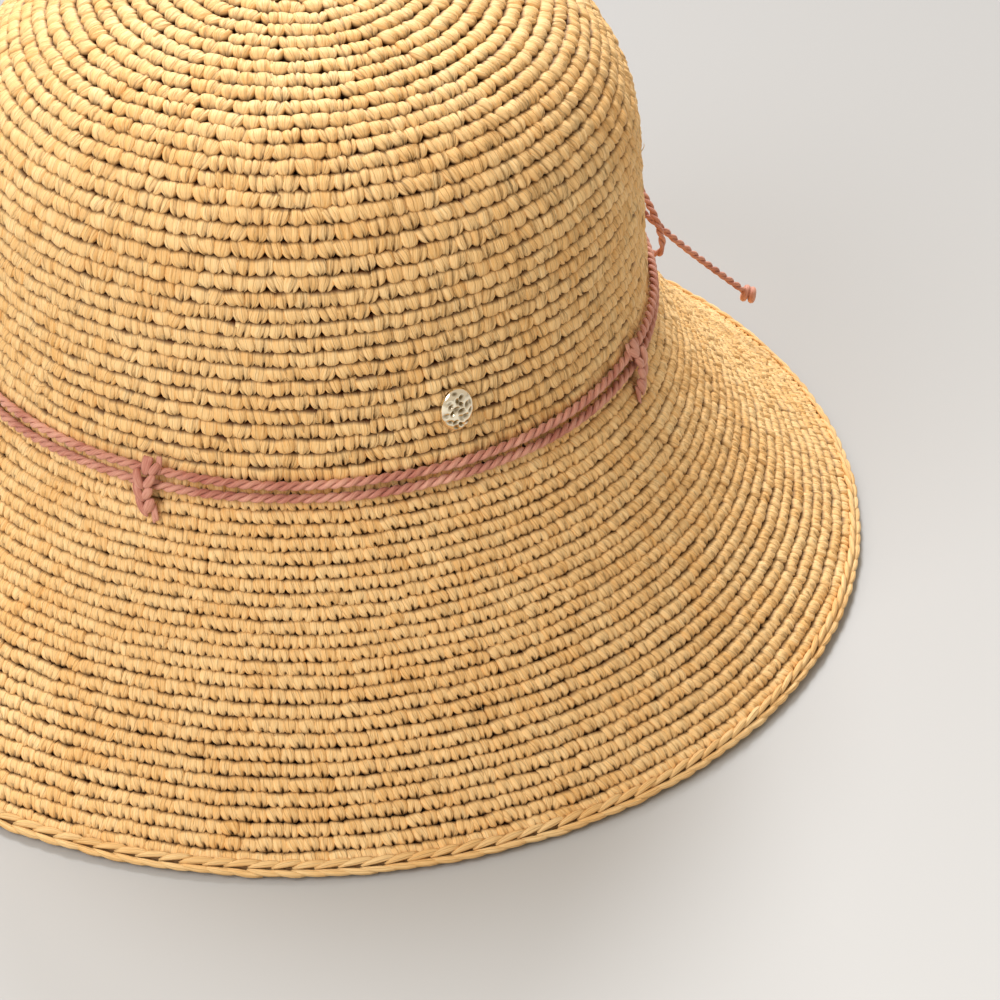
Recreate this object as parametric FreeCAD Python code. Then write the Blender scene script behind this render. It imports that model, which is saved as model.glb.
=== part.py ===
import FreeCAD, Part
import math
import os

# Crocheted raffia sun hat. Millimetres, +Z up, front of the hat at -Y, wearer's left at +X.
# The hat stands on the foot of its brim edging, which is the plane Z = 0.

# ---- driving sizes -------------------------------------------------------
head_girth = 570.0          # around the inside of the sweatband, at mid height
crochet = 3.2               # thickness of the crocheted raffia
crease_height = 78.0        # fold between crown and brim, above the foot
wall_height = 53.0          # straight part of the crown side
wall_taper = 3.5            # the crown side is this much narrower at its top
shoulder_radius = 51.0      # rounding from the crown side to the tip
tip_slope = 22.0            # degrees from level where the tip rounds begin
brim_radius = 161.0         # to the outside of the edging
brim_start_slope = 62.0     # degrees below level where the brim leaves the crown
edging_width = 2.6          # chain edging, measured down the brim's slope
edging_height = 4.1         # top of the edging above its foot
foot_width = 2.8            # flat underside of the edging
edging_overhang = 0.85      # share of the edging's width that lies outside the crochet
edging_lip = 0.9            # the rim is this share of the edging's width below its top

ribbon = 0.9                # sweatband thickness
ribbon_height = 30.0
ribbon_lift = 3.0           # bottom of the sweatband above the crease
ribbon_lean = 2.7           # the ribbon is sewn at its bottom, and its top stands off this much
ribbon_slit = 1.5           # between the ends of the sweatband, at the back
tab_width = 14.0            # strip that covers those ends
tab_thickness = 0.6
seat_gap = 0.3              # between a sewn or tied piece and what it lies on

cord_diameter = 2.7         # twisted trim cord
cord_pitch = 3.6            # between the two turns around the crown
lower_turn_height = 1.2     # lower turn, centre above the crease
cord_gap = 0.1              # between a turn and the crown side
wrap_clearance = 0.15       # around the turns, inside a wrap or the bow's knot

keeper_angles = (0.0, 90.0, -90.0)   # degrees from the front, towards +X
keeper_width = 5.6
keeper_strand = 1.2         # a wrap strand lies this thick over the turns
keeper_top = 7.8            # top of the wrap above the crease
keeper_bottom = 3.4         # the wrap reaches this far down the brim
keeper_end_diameter = 2.0   # cut ends below the wrap
keeper_end_length = 7.5
keeper_end_pitch = 2.6      # between the two cut ends
keeper_end_splay = 0.22     # sideways travel of a cut end, for each mm of its length
keeper_end_lift = 12.0      # degrees that the cut ends stand off the brim
keeper_bevel = 1.5          # slanted top and bottom of the wrap's face

knot_width = 9.0            # bow's centre knot, along the turns
knot_height = 10.4
knot_depth = 6.3
knot_round = 0.8
strand_diameter = 2.3       # free cord of the bow
strand_pitch = 2.8          # between strands where they leave the knot
strand_bite = 0.6           # of each strand, gripped in the knot
bend_share = 0.45           # of the shorter run beside a point of a route, taken up by its arc
end_knot_diameter = 5.6
end_knot_length = 3.8
end_knot_round = 1.2

stud_angle = 49.0           # degrees from the front, towards +X
stud_height = 21.0          # centre above the crease
stud_width = 9.0
stud_length = 12.0
stud_dome = 2.2
stud_rounding = 0.7         # rounding of the cap's rim, as a share of its dome
prong_diameter = 1.4
prong_spacing = 5.0
prong_clearance = 0.2       # all round a prong, in the crochet
prong_stub = 0.2            # of a prong, flattened beyond the back plate
plate_thickness = 0.8
plate_margin = 0.8          # the back plate is this much smaller all round
plate_clearance = 0.05      # around a prong, in the back plate

# Routes of the bow's free cords, chosen by hand, from the knot outwards: degrees from the back
# towards +X, then millimetres outside the crease's circle and above the crease.
left_loop = ((10, 9, 8.8), (22, 13.8, 6.5), (31.5, 18.8, -2.5), (38, 19.4, -11.3), (41, 19.7, -21),
             (39, 17, -24.6), (31.5, 14.5, -19.3), (20, 9, -9), (9, 5, 0.5))
right_loop = ((-10, 9.5, 8), (-21, 14.5, 8), (-31, 19.5, 0), (-37, 21, -10), (-39.5, 21.5, -19),
              (-37.5, 18, -22.5), (-30, 14, -18), (-19, 9, -9), (-9, 5, 0.5))
left_tail = ((12, 13, -3.5), (25, 16.5, -9.5), (33.4, 24.5, -19.8), (34.5, 37.8, -35.7), (36, 57, -55))
right_tail = ((-12, 13, -4), (-24, 17, -12.5), (-31, 28, -30), (-32, 40, -46), (-31, 51, -58))


# ---- places worked out from the sizes ------------------------------------
def radial(angle):
    a = math.radians(angle)
    return math.cos(a), math.sin(a)


def along(point, direction, distance):
    return (point[0] + direction[0] * distance, point[1] + direction[1] * distance)


cord_radius = cord_diameter / 2
strand_radius = strand_diameter / 2
lean = math.degrees(math.atan2(wall_taper, wall_height))
wall_out = radial(lean)
wall_up = radial(lean + 90)
ribbon_middle = ribbon_lift + ribbon_height / 2
crease_radius = (head_girth / (2 * math.pi) + ribbon + seat_gap + ribbon_lean / 2 + crochet
                 + wall_taper * ribbon_middle / wall_height)
crease = (crease_radius, crease_height)
wall_length = math.hypot(wall_taper, wall_height)
wall_top = along(crease, wall_up, wall_length)

shoulder_centre = along(wall_top, wall_out, -shoulder_radius)
tip_turn = 90 - tip_slope
shoulder_end = along(shoulder_centre, radial(tip_turn), shoulder_radius)
tip_radius = shoulder_end[0] / radial(tip_turn)[0]
tip_centre = (0.0, shoulder_end[1] - tip_radius * radial(tip_turn)[1])

edge = (brim_radius - edging_width * edging_overhang, edging_height)
brim_chord = math.hypot(edge[0] - crease[0], crease[1] - edge[1])
brim_mean_slope = math.degrees(math.atan2(crease[1] - edge[1], edge[0] - crease[0]))
brim_end_slope = 2 * brim_mean_slope - brim_start_slope
brim_turn = brim_start_slope - brim_end_slope
brim_curve = brim_chord / (2 * math.sin(math.radians(brim_turn / 2)))
brim_up = radial(90 - brim_start_slope)
brim_centre = along(crease, brim_up, brim_curve)

mitre_angle = (lean + 90 - brim_start_slope) / 2
mitre_half = (90 - brim_start_slope - lean) / 2


def mitre(offset):
    """Point on the fold's own line, this far inside (or, negative, outside) both faces."""
    return along(crease, radial(mitre_angle), -offset / radial(mitre_half)[0])


def wall_point(height, offset):
    """Point on the crown side above the crease, this far outside its outer face."""
    return along(along(crease, wall_up, height / wall_up[1]), wall_out, offset)


def brim_point(slope, offset):
    """Point of the brim where it slopes this many degrees, this far above its upper face."""
    return along(brim_centre, radial(-90 - slope), brim_curve - offset)


# ---- small builders ------------------------------------------------------
def vec(point):
    return FreeCAD.Vector(point[0], 0, point[1])


def line(a, b):
    return Part.LineSegment(vec(a), vec(b)).toShape()


def arc(a, middle, b):
    return Part.Arc(vec(a), vec(middle), vec(b)).toShape()


def revolve(edges, start=0.0, turn=360.0):
    """Solid of revolution about Z; start and turn in degrees from the front, towards +X."""
    face = Part.Face(Part.Wire(edges))
    solid = face.revolve(FreeCAD.Vector(0, 0, 0), FreeCAD.Vector(0, 0, 1), turn)
    solid.rotate(FreeCAD.Vector(0, 0, 0), FreeCAD.Vector(0, 0, 1), start - 90)
    return solid


def polygon(points):
    return [line(a, b) for a, b in zip(points, points[1:] + points[:1])]


def at_angle(shape, angle):
    """Turn a shape built at the front of the hat to its place, degrees towards +X."""
    shape.rotate(FreeCAD.Vector(0, 0, 0), FreeCAD.Vector(0, 0, 1), angle)
    return shape


def cord_tube(name, points, radius):
    """Round cord along straight runs joined by tangent arcs, one arc at each inner point."""
    route = [FreeCAD.Vector(*p) for p in points]
    edges, radii, last = [], [], route[0]
    for before, here, after in zip(route, route[1:], route[2:]):
        into, out = here - before, after - here
        turn = into.getAngle(out)
        bend = bend_share * min(into.Length, out.Length) / math.tan(turn / 2)
        reach = bend * math.tan(turn / 2)
        into.normalize()
        out.normalize()
        first, second = here - into * reach, here + out * reach
        inward = out - into
        inward.normalize()
        middle = here + inward * (bend / math.cos(turn / 2) - bend)
        edges += [Part.LineSegment(last, first).toShape(), Part.Arc(first, middle, second).toShape()]
        radii.append(round(bend, 1))
        last = second
    edges.append(Part.LineSegment(last, route[-1]).toShape())
    path = Part.Wire(edges)
    start = route[1] - route[0]
    profile = Part.Wire(Part.makeCircle(radius, route[0], start))
    tube = path.makePipeShell([profile], True, False)
    share = tube.Volume / (math.pi * radius ** 2 * path.Length)
    print(name, "length", round(path.Length, 1), "radii", radii, "volume share", round(share, 4))
    return tube


def turn_torus(height, radius):
    centre = wall_point(height, cord_gap + cord_radius)
    return Part.makeTorus(centre[0], radius, FreeCAD.Vector(0, 0, centre[1]))


# ---- crocheted body ------------------------------------------------------
def crown_tip():
    top = (0.0, tip_centre[1] + tip_radius)
    inside = (0.0, top[1] - crochet)
    half = radial((90 + tip_turn) / 2)
    rim = along(shoulder_end, radial(tip_turn), -crochet)
    return revolve([arc(top, along(tip_centre, half, tip_radius), shoulder_end),
                    line(shoulder_end, rim),
                    arc(rim, along(tip_centre, half, tip_radius - crochet), inside),
                    line(inside, top)])


def crown_shoulder():
    half = radial((lean + tip_turn) / 2)
    rim = along(shoulder_end, radial(tip_turn), -crochet)
    inner_top = along(wall_top, wall_out, -crochet)
    return revolve([arc(wall_top, along(shoulder_centre, half, shoulder_radius), shoulder_end),
                    line(shoulder_end, rim),
                    arc(rim, along(shoulder_centre, half, shoulder_radius - crochet), inner_top),
                    line(inner_top, wall_top)])


def crown_wall():
    inner_top = along(wall_top, wall_out, -crochet)
    solid = revolve(polygon([crease, wall_top, inner_top, mitre(crochet)]))
    for prong in stud_prong_rods(prong_clearance):
        solid = solid.cut(prong)
    return solid


def brim_ring(steep, shallow):
    """Ring of the brim between two slopes, its upper face first; it meets the crown at the fold."""
    middle = (steep + shallow) / 2
    high, low = brim_point(steep, 0), brim_point(shallow, 0)
    under_low = brim_point(shallow, -crochet)
    under_high = mitre(crochet) if steep == brim_start_slope else brim_point(steep, -crochet)
    return revolve([arc(high, brim_point(middle, 0), low),
                    line(low, under_low),
                    arc(under_low, brim_point(middle, -crochet), under_high),
                    line(under_high, high)])


def brim_edging():
    under_edge = brim_point(brim_end_slope, -crochet)
    return revolve(polygon([edge,
                            (brim_radius, edging_height - edging_width * edging_lip),
                            (edge[0] + foot_width / 2, 0.0),
                            (edge[0] - foot_width / 2, 0.0),
                            under_edge]))


# ---- sweatband -----------------------------------------------------------
def ribbon_section(inner, thickness):
    """Strip inside the crochet, its outer face this far inside at the bottom, leaning in above."""
    low, high = -(crochet + inner), -(crochet + inner + ribbon_lean)
    bottom, top = ribbon_lift, ribbon_lift + ribbon_height
    return polygon([wall_point(bottom, low), wall_point(top, high),
                    wall_point(top, high - thickness), wall_point(bottom, low - thickness)])


def sweatband():
    slit = math.degrees(ribbon_slit / crease_radius)
    return revolve(ribbon_section(seat_gap, ribbon), 180 + slit / 2, 360 - slit)


def sweatband_tab():
    width = math.degrees(tab_width / crease_radius)
    return revolve(ribbon_section(2 * seat_gap + ribbon, tab_thickness), 180 - width / 2, width)


# ---- trim cord around the crown ------------------------------------------
def lower_turn(grow=0.0):
    return turn_torus(lower_turn_height, cord_radius + grow)


def upper_turn(grow=0.0):
    return turn_torus(lower_turn_height + cord_pitch, cord_radius + grow)


def outside_turns():
    return crease_radius + cord_gap + cord_diameter


def keeper(angle):
    """Tied wrap over both turns, with its two cut ends lying down the brim."""
    outer = outside_turns() + keeper_strand
    down = brim_start_slope - math.degrees(keeper_bottom / brim_curve)
    width = math.degrees(keeper_width / crease_radius)
    wrap = revolve(polygon([wall_point(keeper_top, seat_gap), mitre(-seat_gap),
                            brim_point(down, seat_gap), (outer, crease_height - keeper_bevel),
                            (outer, crease_height + keeper_top - keeper_bevel)]), -width / 2, width)
    wrap = wrap.cut(lower_turn(wrap_clearance)).cut(upper_turn(wrap_clearance))
    end_radius = keeper_end_diameter / 2
    for side in (-1, 1):
        start = FreeCAD.Vector(side * keeper_end_pitch / 2, -(outer - end_radius), crease_height)
        slope = radial(keeper_end_lift - brim_start_slope)
        run = FreeCAD.Vector(side * keeper_end_splay, -slope[0], slope[1])
        wrap = wrap.fuse(Part.makeCylinder(end_radius, keeper_end_length, start, run))
    return at_angle(wrap.removeSplitter(), angle)


# ---- bow at the back ------------------------------------------------------
knot_middle = crease_height + lower_turn_height + cord_pitch / 2
knot_back = crease_radius + cord_gap + cord_radius
strand_place = knot_back + knot_depth / 2


def bow_knot():
    knot = Part.makeBox(knot_width, knot_depth, knot_height,
                        FreeCAD.Vector(-knot_width / 2, knot_back, knot_middle - knot_height / 2))
    outer = [e for e in knot.Edges if min(v.Point.y for v in e.Vertexes) > knot_back + knot_depth / 2]
    knot = knot.makeFillet(knot_round, outer)
    return knot.cut(lower_turn(wrap_clearance)).cut(upper_turn(wrap_clearance))


def knot_exit(side, row):
    """Start of a free strand, pressed into the side of the knot."""
    return (side * (knot_width / 2 - strand_bite), strand_place, knot_middle + row * strand_pitch)


def around_crown(route):
    """Places of a route's points."""
    return tuple(((crease_radius + out) * math.sin(math.radians(angle)),
                  (crease_radius + out) * math.cos(math.radians(angle)),
                  crease_height + height) for angle, out, height in route)


def bow_loop(name, side, route):
    return cord_tube(name, (knot_exit(side, 1),) + around_crown(route) + (knot_exit(side, 0),),
                     strand_radius)


def bow_tail(name, side, route):
    return cord_tube(name, (knot_exit(side, -1),) + around_crown(route), strand_radius)


def end_knot(route):
    last, tip = [FreeCAD.Vector(*p) for p in around_crown(route)[-2:]]
    run = tip - last
    knot = Part.makeCylinder(end_knot_diameter / 2, end_knot_length, tip, run)
    rims = [e for e in knot.Edges if e.Closed and isinstance(e.Curve, Part.Circle)]
    return knot.makeFillet(end_knot_round, rims)


# ---- stud -------------------------------------------------------------------
def stud_frame(offset):
    """Place of the stud on the crown side, this far outside the outer face, built at the front."""
    radius, height = wall_point(stud_height, offset)
    tilt = FreeCAD.Rotation(FreeCAD.Vector(1, 0, 0), 90 - lean)
    return FreeCAD.Placement(FreeCAD.Vector(0, -radius, height), tilt)


def placed(shape, offset):
    """Local X across the stud, Y up the crown side, Z out of it."""
    shape.Placement = stud_frame(offset).multiply(shape.Placement)
    return at_angle(shape, stud_angle)


def oval_plate(width, length, thickness):
    ellipse = Part.Ellipse(FreeCAD.Vector(0, 0, 0), length / 2, width / 2).toShape()
    face = Part.Face(Part.Wire(ellipse))
    face.rotate(FreeCAD.Vector(0, 0, 0), FreeCAD.Vector(0, 0, 1), 90)
    return face.extrude(FreeCAD.Vector(0, 0, thickness))


def stud_cap():
    """Plain domed oval, with its flat back on the crochet."""
    plate = oval_plate(stud_width, stud_length, stud_dome)
    rim = [e for e in plate.Edges if min(v.Point.z for v in e.Vertexes) > stud_dome / 2 and e.Closed]
    return placed(plate.makeFillet(stud_dome * stud_rounding, rim), seat_gap)


def stud_prong_rods(clearance=0.0):
    """Two rods from the back of the cap, through the crochet and the back plate."""
    reach = crochet + 2 * seat_gap + plate_thickness + prong_stub
    radius = prong_diameter / 2 + clearance
    return [placed(Part.makeCylinder(radius, reach, FreeCAD.Vector(0, y, -reach)), seat_gap)
            for y in (-prong_spacing / 2, prong_spacing / 2)]


def stud_back_plate():
    plate = oval_plate(stud_width - 2 * plate_margin, stud_length - 2 * plate_margin, plate_thickness)
    plate = placed(plate, -crochet - seat_gap - plate_thickness)
    for rod in stud_prong_rods(plate_clearance):
        plate = plate.cut(rod)
    return plate


# ---- all nodes -------------------------------------------------------------
nodes = {
    "crown_tip": crown_tip(),
    "crown_shoulder": crown_shoulder(),
    "crown_wall": crown_wall(),
    "brim_inner": brim_ring(brim_start_slope, brim_mean_slope),
    "brim_outer": brim_ring(brim_mean_slope, brim_end_slope),
    "brim_edging": brim_edging(),
    "sweatband": sweatband(),
    "sweatband_tab": sweatband_tab(),
    "cord_turn_lower": lower_turn(),
    "cord_turn_upper": upper_turn(),
    "cord_keeper_front": keeper(keeper_angles[0]),
    "cord_keeper_left": keeper(keeper_angles[1]),
    "cord_keeper_right": keeper(keeper_angles[2]),
    "bow_knot": bow_knot(),
    "bow_loop_left": bow_loop("bow_loop_left", 1, left_loop),
    "bow_loop_right": bow_loop("bow_loop_right", -1, right_loop),
    "bow_tail_left": bow_tail("bow_tail_left", 1, left_tail),
    "bow_tail_right": bow_tail("bow_tail_right", -1, right_tail),
    "tail_end_knot_left": end_knot(left_tail),
    "tail_end_knot_right": end_knot(right_tail),
    "stud_cap": stud_cap(),
    "stud_prongs": Part.Compound(stud_prong_rods()),
    "stud_back_plate": stud_back_plate(),
}

os.makedirs("parts", exist_ok=True)
for name, shape in nodes.items():
    if not shape.isValid():
        raise ValueError(name + " isn't a valid solid")
    shape.exportStep("parts/" + name + ".step")
    box = shape.BoundBox
    print(name, "solids", len(shape.Solids), "volume", round(shape.Volume, 1),
          "z", round(box.ZMin, 2), round(box.ZMax, 2))
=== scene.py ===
import math

import bpy
import numpy as np
from mathutils import Matrix, Vector


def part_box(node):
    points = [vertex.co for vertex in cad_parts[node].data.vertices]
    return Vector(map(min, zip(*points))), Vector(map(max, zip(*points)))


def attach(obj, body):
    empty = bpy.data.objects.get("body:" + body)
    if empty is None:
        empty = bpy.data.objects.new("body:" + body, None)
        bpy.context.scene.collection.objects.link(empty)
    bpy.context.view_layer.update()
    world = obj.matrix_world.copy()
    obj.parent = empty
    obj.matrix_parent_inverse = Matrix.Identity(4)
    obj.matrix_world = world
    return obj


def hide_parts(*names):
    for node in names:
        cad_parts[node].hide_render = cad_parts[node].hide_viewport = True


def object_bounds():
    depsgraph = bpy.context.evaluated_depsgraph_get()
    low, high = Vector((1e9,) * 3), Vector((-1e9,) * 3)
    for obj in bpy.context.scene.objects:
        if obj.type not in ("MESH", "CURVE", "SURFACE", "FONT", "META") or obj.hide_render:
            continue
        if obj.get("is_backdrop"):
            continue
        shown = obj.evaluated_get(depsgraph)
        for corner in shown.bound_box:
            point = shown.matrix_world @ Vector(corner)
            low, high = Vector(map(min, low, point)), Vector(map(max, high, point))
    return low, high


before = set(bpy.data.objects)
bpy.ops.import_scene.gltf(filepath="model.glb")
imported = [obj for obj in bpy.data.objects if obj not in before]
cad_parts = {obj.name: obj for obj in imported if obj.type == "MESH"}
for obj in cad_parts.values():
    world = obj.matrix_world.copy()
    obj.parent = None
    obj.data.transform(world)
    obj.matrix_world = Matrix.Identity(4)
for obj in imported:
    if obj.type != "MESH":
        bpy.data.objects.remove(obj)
cad_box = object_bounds()

# ==== Studio ====================================================================================
# A pale matt table top, soft light from two panels behind the hat and a wide one beside the camera,
# and an even glow all round. The camera looks down at the hat from its front and a little from its
# left.


def add(tree, kind, feeds=None, stops=(), **settings):
    """One node with its settings, a ramp's stops, and what feeds its sockets: a value, or another
    node's output."""
    node = tree.nodes.new(kind)
    for name, value in settings.items():
        setattr(node, name, value)
    for stop, (at, code) in zip(node.color_ramp.elements if stops else (), stops):
        stop.position, stop.color = at, colour(code)
    for socket, value in (feeds or {}).items():
        if isinstance(value, bpy.types.NodeSocket):
            tree.links.new(value, node.inputs[socket])
        else:
            node.inputs[socket].default_value = value
    return node


def colour(code):
    """A hex sRGB colour as linear RGBA."""
    parts = [int(code[i:i + 2], 16) / 255 for i in (1, 3, 5)]
    return tuple(p / 12.92 if p < 0.04045 else ((p + 0.055) / 1.055) ** 2.4 for p in parts) + (1.0,)


def new_material(name, settings):
    """A material with its surface's settings, its node tree, and its surface."""
    made = bpy.data.materials.new(name)
    made.use_nodes = True
    surface = made.node_tree.nodes["Principled BSDF"]
    for socket, value in settings.items():
        surface.inputs[socket].default_value = value
    return made, made.node_tree, surface


camera_turn, camera_tilt = math.radians(22), math.radians(36.8)
camera_away, camera_right, camera_down = 1.122, 0.0555, 0.0588
right = Vector((math.cos(camera_turn), math.sin(camera_turn), 0))
ahead = Vector((-math.sin(camera_turn) * math.cos(camera_tilt),
                math.cos(camera_turn) * math.cos(camera_tilt), -math.sin(camera_tilt)))
above = right.cross(ahead)
crease_middle = Vector((0, 0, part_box("brim_inner")[1].z))
camera = bpy.data.objects.new("camera", bpy.data.cameras.new("camera"))
camera.data.lens = 143
camera_place = crease_middle - ahead * camera_away + right * camera_right - above * camera_down
camera.matrix_world = Matrix.Translation(camera_place) @ Matrix(
    (right, above, -ahead)).transposed().to_4x4()
bpy.context.scene.collection.objects.link(camera)
bpy.context.scene.camera = camera
bpy.context.scene.view_settings.view_transform = "Standard"

# Table top: matt painted board, with painted light that makes it paler towards its front.
board_paint, paint, surface = new_material("matt_board_paint", {
    "Roughness": 0.85, "Specular IOR Level": 0.2})
ground = add(paint, "ShaderNodeTexCoord").outputs["Object"]
floor_painted_light = add(paint, "ShaderNodeVectorMath", {0: ground, 1: (0.375, -0.927, 0)},
               operation="DOT_PRODUCT").outputs["Value"]
floor_painted_light = add(paint, "ShaderNodeMapRange", {0: floor_painted_light, 1: -0.3, 2: 0.35}).outputs[0]
tint = add(paint, "ShaderNodeMix", {"Factor": floor_painted_light, 6: colour("#A0A09E"), 7: colour("#C1C2C0")},
           data_type="RGBA").outputs[2]
paint.links.new(tint, surface.inputs["Base Color"])
table = bpy.data.objects.new("table_top", bpy.data.meshes.new("table_top"))
reach = 6
table.data.from_pydata([(-reach, -reach, 0), (reach, -reach, 0), (reach, reach, 0),
                        (-reach, reach, 0)], [], [(0, 1, 2, 3)])
table.data.materials.append(board_paint)
bpy.context.scene.collection.objects.link(table)
table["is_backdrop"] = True

# Even glow, a little warm on the hat and a plain pale grey behind it, and the three panels.
glow = bpy.data.worlds.new("glow")
bpy.context.scene.world = glow
glow.use_nodes = True
sky = glow.node_tree
seen = add(sky, "ShaderNodeLightPath").outputs["Is Camera Ray"]
shade = add(sky, "ShaderNodeMix", {"Factor": seen, 6: colour("#FFF1E0"), 7: colour("#DEDBD4")},
            data_type="RGBA").outputs[2]
power = add(sky, "ShaderNodeMix", {"Factor": seen, 2: 0.62, 3: 1.0}).outputs[0]
sky.links.new(shade, sky.nodes["Background"].inputs["Color"])
sky.links.new(power, sky.nodes["Background"].inputs["Strength"])

panel_away = 1.7
for name, toward, size, energy in (("panel_high", (-0.345, 0.383, 0.857), 0.55, 17),
                                   ("panel_behind", (-0.287, 0.710, 0.643), 0.6, 23),
                                   ("panel_beside", (-0.280, -0.737, 0.616), 1.2, 18.5)):
    panel = bpy.data.objects.new(name, bpy.data.lights.new(name, "AREA"))
    panel.data.shape = "DISK"
    panel.data.size = size
    panel.data.energy = energy
    panel.data.color = colour("#FBFBFF")[:3]
    toward = Vector(toward)
    panel.location = crease_middle + toward * panel_away
    panel.rotation_euler = toward.to_track_quat("Z", "Y").to_euler()
    bpy.context.scene.collection.objects.link(panel)

# ==== Crocheted body ============================================================================
# Natural raffia, worked in rounds of plump single stitches from the crown's middle out to the
# brim's edge. The rounds lie 4.5 mm apart on the crown and 3.75 mm on the brim, where the stitches
# are squatter arches with small holes between them.

crease_radius, crease_height = 0.09765, 0.078
wall_taper, wall_height = 0.0035, 0.053
lean = math.atan2(wall_taper, wall_height)
shoulder_radius, tip_slope = 0.051, math.radians(22)
edge_radius, edge_height = 0.15879, 0.0041
brim_start_slope = math.radians(62)
half_thickness = 0.0016

wall_top = (crease_radius - wall_taper, crease_height + wall_height)
shoulder_middle = (wall_top[0] - shoulder_radius * math.cos(lean),
                   wall_top[1] - shoulder_radius * math.sin(lean))
tip_turn = math.pi / 2 - tip_slope
tip_radius = (shoulder_middle[0] + shoulder_radius * math.cos(tip_turn)) / math.cos(tip_turn)
tip_middle = shoulder_middle[1] - (tip_radius - shoulder_radius) * math.sin(tip_turn)
chord_slope = math.atan2(crease_height - edge_height, edge_radius - crease_radius)
brim_chord = math.hypot(edge_radius - crease_radius, crease_height - edge_height)
brim_turn = 2 * (brim_start_slope - chord_slope)
brim_curve = brim_chord / 2 / math.sin(brim_turn / 2)
brim_middle = (crease_radius + brim_curve * math.sin(brim_start_slope),
               crease_height + brim_curve * math.cos(brim_start_slope))


def on_tip(share):
    """Outer face of the crown's tip: radius, height, and the face's angle above level."""
    turn = math.pi / 2 - tip_slope * share
    return tip_radius * math.cos(turn), tip_middle + tip_radius * math.sin(turn), turn


def on_shoulder(share):
    """The same for its shoulder."""
    turn = tip_turn + (lean - tip_turn) * share
    return (shoulder_middle[0] + shoulder_radius * math.cos(turn),
            shoulder_middle[1] + shoulder_radius * math.sin(turn), turn)


def on_wall(share):
    """The same for its side, whose last rounds begin to turn towards the brim."""
    return (wall_top[0] + wall_taper * share, wall_top[1] - wall_height * share,
            lean + max(0, share - 0.85))


def on_brim(share):
    """The same for the brim, which is hollow like a bell's mouth."""
    slope = brim_start_slope - brim_turn * share
    return (brim_middle[0] - brim_curve * math.sin(slope),
            brim_middle[1] - brim_curve * math.cos(slope), math.pi / 2 - slope)


def sleeve(rows, ring):
    """Faces between rows of points that each go once round, and one on each end."""
    faces = [(i * ring + k, (i + 1) * ring + k, (i + 1) * ring + (k + 1) % ring,
              i * ring + (k + 1) % ring) for i in range(rows - 1) for k in range(ring)]
    return faces + [tuple(range(ring)), tuple(range((rows - 1) * ring, rows * ring))[::-1]]


def smooth_mesh(name, points, faces, uv=None):
    """A smooth mesh, with its fibre map."""
    mesh = bpy.data.meshes.new(name)
    mesh.from_pydata([tuple(p) for p in points], [], faces)
    if uv is not None:
        layer = mesh.uv_layers.new(name="fibre")
        corner = np.zeros(len(mesh.loops), np.int32)
        mesh.loops.foreach_get("vertex_index", corner)
        layer.uv.foreach_set("vector", np.asarray(uv, np.float32)[corner].ravel())
    mesh.shade_smooth()
    return mesh


def mark(mesh, name, values):
    """A number at each point of a mesh, which its material reads."""
    mesh.attributes.new(name, "FLOAT", "POINT").data.foreach_set("value", values)


form_size = 4.4     # mm: a stitch's width, and its height from round to round, before scaling


def stitch_form(name, rows, wide, slant, folds, hole):
    """One raffia stitch, 4.4 mm wide and 4.4 mm between rounds: a fat pillow of folded leaf. rows
    gives its height, half width, front, back and painted light from its top, which is tucked under
    the round above and painted in shade, to its foot; folds how deep it is folded at some of nine
    lines across it; and hole how deep the hole above its foot is."""
    deepen = (0.1, 0.4, 0.8, 1.0, 1.3, 1.2)
    opening = (0, 0, 0, 0.3, 1.0, 1.0)
    sides = (-1, -0.86, -0.54, -0.2, 0.06, 0.32, 0.6, 0.86, 1)
    half_size, rim, back_sides = form_size / 2, -0.7, (0.6, -0.6)
    points, uv, painted_light_values = [], [], []
    # Painted shade: each point's painted light is lower where the stitch dips into a fold or the
    # hole, where its row's value is low, at its sides where it meets the next stitch, and on its
    # back.
    for (y, half, front, back, row_painted_light), deep, open_here in zip(rows, deepen, opening):
        for i, u in enumerate(sides + back_sides):
            if i < len(sides):
                z = rim + (front - rim) * (1 - abs(u) ** 4.5) ** 0.36 - folds.get(i, 0) * deep
                z -= hole * open_here * (i == 4)
                uv.append((u * 2.4 + slant * y * 2, y * form_size))
                painted_light_here = row_painted_light * (1 - 0.6 * (abs(u) > 0.9))
                painted_light_values.append(max(0.0, min(1.0, (z + 1.0) / 2.3)) * painted_light_here)
            else:
                z = back
                uv.append((u * 2.4 + 9, y * form_size))
                painted_light_values.append(0.7)
            x = u * half * half_size * wide + slant * (0.3 - y) * half_size
            points.append(Vector((x, y * form_size, z)) / 1000)
    mesh = smooth_mesh(name, points, sleeve(len(rows), len(sides + back_sides)), uv)
    mark(mesh, "crest", painted_light_values)
    return bpy.data.objects.new(name, mesh)


# Rows of the crown's and brim's stitches: height, half width, front, back, and painted light, low
# (painted shade) on the top that is tucked under the round above.
crown_rows = ((0.6, 0.95, -0.9, -1.2, 0.0), (0.44, 1.08, 0.45, -1.5, 0.5),
              (0.24, 1.14, 1.3, -1.6, 1.0), (-0.1, 1.12, 1.65, -1.6, 1.0),
              (-0.36, 0.9, 1.5, -1.5, 1.0), (-0.57, 0.46, 0.5, -1.1, 0.85))
crown_stitches = bpy.data.collections.new("crown_stitches")
for i, shape in enumerate((
        (1.1, 0.05, {}, 0.0), (1.05, 0.25, {3: 0.6}, 0.6), (1.06, -0.1, {4: 1.2}, 0.6),
        (1.05, -0.2, {5: 1.1}, 0.0), (1.08, 0.15, {2: 0.8, 6: 0.9}, 0.0),
        (1.03, 0.3, {3: 1.3}, 0.3), (1.08, 0.0, {2: 0.6, 4: 1.2, 6: 0.6}, 0.5),
        (1.1, 0.2, {6: 0.8}, 1.2))):
    crown_stitches.objects.link(stitch_form(f"crown_stitch_{i}", crown_rows, *shape))
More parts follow.
